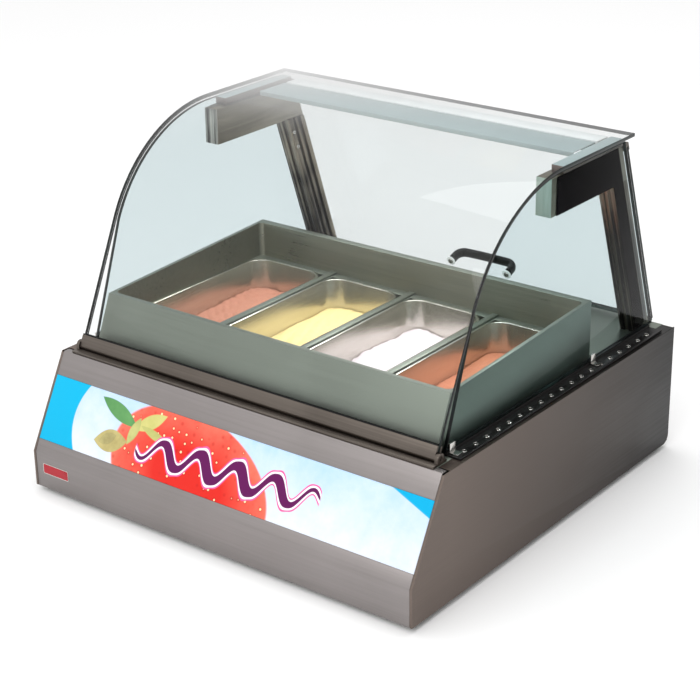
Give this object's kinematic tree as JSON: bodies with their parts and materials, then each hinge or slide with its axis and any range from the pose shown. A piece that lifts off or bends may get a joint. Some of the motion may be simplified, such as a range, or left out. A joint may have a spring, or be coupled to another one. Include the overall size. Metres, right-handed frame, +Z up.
{
  "type": "countertop ice cream dipping cabinet",
  "caption": "Countertop ice cream dipping cabinet with a bent front glass, raised pan well, lit front sign, canopy lamp and top-hinged rear service flap.",
  "frame": {"origin": "on the counter, below the middle of the cabinet's bounding box", "axes": "+X to the right as the customer sees it, +Y towards the server, +Z up"},
  "size_m": [0.8, 0.8059, 0.608],
  "materials": {
    "casing_steel": "satin brushed stainless, warm grey",
    "stainless_sheet": "brushed",
    "pan_steel": "bright satin",
    "bronze_aluminium": "warm anodised, satin",
    "lamp_aluminium": "pale blue-grey satin",
    "condenser_aluminium": "mill",
    "clip_chrome": "polished",
    "copper_tube": "drawn",
    "compressor_black": "semi-gloss black enamel",
    "motor_steel": "satin",
    "clear_glass": "polished, green edge",
    "black_plastic": "satin",
    "switch_red": "gloss",
    "sign_acrylic": "printed backlit acrylic",
    "lamp_white": "opal",
    "foam": "cut foam",
    "foot_rubber": "matte",
    "ice_cream_cocoa_rose": "frozen cream",
    "ice_cream_vanilla": "frozen cream",
    "ice_cream_cream": "frozen cream",
    "ice_cream_peach": "frozen cream"
  },
  "bodies": {
    "cabinet": {"side_panel_right": "casing_steel", "side_panel_left": "casing_steel", "base_tray": "stainless_sheet", "front_plinth": "casing_steel", "front_bezel": "casing_steel", "sign_panel": "sign_acrylic", "sign_light": "lamp_white", "rear_panel": "casing_steel", "deck": "stainless_sheet", "foot_front_right": "foot_rubber", "foot_front_left": "foot_rubber", "foot_rear_right": "foot_rubber", "foot_rear_left": "foot_rubber", "front_rail": "bronze_aluminium", "side_glass_right": "clear_glass", "side_glass_left": "clear_glass", "vent_strip_right": "black_plastic", "vent_strip_left": "black_plastic", "glass_clip_front_right": "clip_chrome", "glass_clip_front_left": "clip_chrome", "glass_clip_rear_right": "clip_chrome", "glass_clip_rear_left": "clip_chrome", "post_right": "bronze_aluminium", "post_left": "bronze_aluminium", "arm_right": "bronze_aluminium", "arm_left": "bronze_aluminium", "frame_cover_right": "black_plastic", "frame_cover_left": "black_plastic", "glass_bar_right": "bronze_aluminium", "glass_bar_left": "bronze_aluminium", "lamp_housing": "lamp_aluminium", "lamp_diffuser": "lamp_white", "lamp_tube": "lamp_white", "flap_rail": "lamp_aluminium", "well_tub": "stainless_sheet", "insulation": "foam", "divider_left": "stainless_sheet", "divider_middle": "stainless_sheet", "divider_right": "stainless_sheet", "evaporator": "copper_tube", "compressor": "compressor_black", "condenser": "condenser_aluminium", "fan_motor": "motor_steel", "power_inlet": "black_plastic"},
    "bent_glass": {"front_glass": "clear_glass", "glass_channel": "bronze_aluminium"},
    "service_flap": {"rear_flap": "clear_glass", "flap_profile": "bronze_aluminium", "flap_handle": "black_plastic"},
    "pan_with_ice_cream_1": {"pan_1": "pan_steel", "ice_cream_1": "ice_cream_cocoa_rose"},
    "pan_with_ice_cream_2": {"pan_2": "pan_steel", "ice_cream_2": "ice_cream_vanilla"},
    "pan_with_ice_cream_3": {"pan_3": "pan_steel", "ice_cream_3": "ice_cream_cream"},
    "pan_with_ice_cream_4": {"pan_4": "pan_steel", "ice_cream_4": "ice_cream_peach"},
    "fan": {"condenser_fan": "black_plastic"},
    "knob": {"thermostat_knob": "black_plastic"},
    "rocker": {"rocker_switch": "switch_red"}
  },
  "joints": [
    {"name": "bent_glass_tilt", "type": "hinge", "parent": "cabinet", "child": "bent_glass", "pos_m": [0, -0.297, 0.2425], "axis": [1, 0, 0], "range_deg": [0, 45]},
    {"name": "service_flap_swing", "type": "hinge", "parent": "cabinet", "child": "service_flap", "pos_m": [0, 0.249, 0.588], "axis": [1, 0, 0], "range_deg": [0, 70]},
    {"name": "pan_1_lift", "type": "slide", "parent": "cabinet", "child": "pan_with_ice_cream_1", "axis": [0, 0, 1], "range_m": [0, 0.07]},
    {"name": "pan_2_lift", "type": "slide", "parent": "cabinet", "child": "pan_with_ice_cream_2", "axis": [0, 0, 1], "range_m": [0, 0.07]},
    {"name": "pan_3_lift", "type": "slide", "parent": "cabinet", "child": "pan_with_ice_cream_3", "axis": [0, 0, 1], "range_m": [0, 0.07]},
    {"name": "pan_4_lift", "type": "slide", "parent": "cabinet", "child": "pan_with_ice_cream_4", "axis": [0, 0, 1], "range_m": [0, 0.07]},
    {"name": "fan_spin", "type": "hinge", "parent": "cabinet", "child": "fan", "pos_m": [0.19, 0.298, 0.12], "axis": [0, 1, 0], "continuous": true},
    {"name": "thermostat_turn", "type": "hinge", "parent": "cabinet", "child": "knob", "pos_m": [-0.34, 0.387, 0.18], "axis": [0, 1, 0], "range_deg": [0, 270]},
    {"name": "light_switch", "type": "hinge", "parent": "cabinet", "child": "rocker", "pos_m": [-0.27, 0.386, 0.18], "axis": [0, 0, 1], "range_deg": [0, 17]}
  ]
}
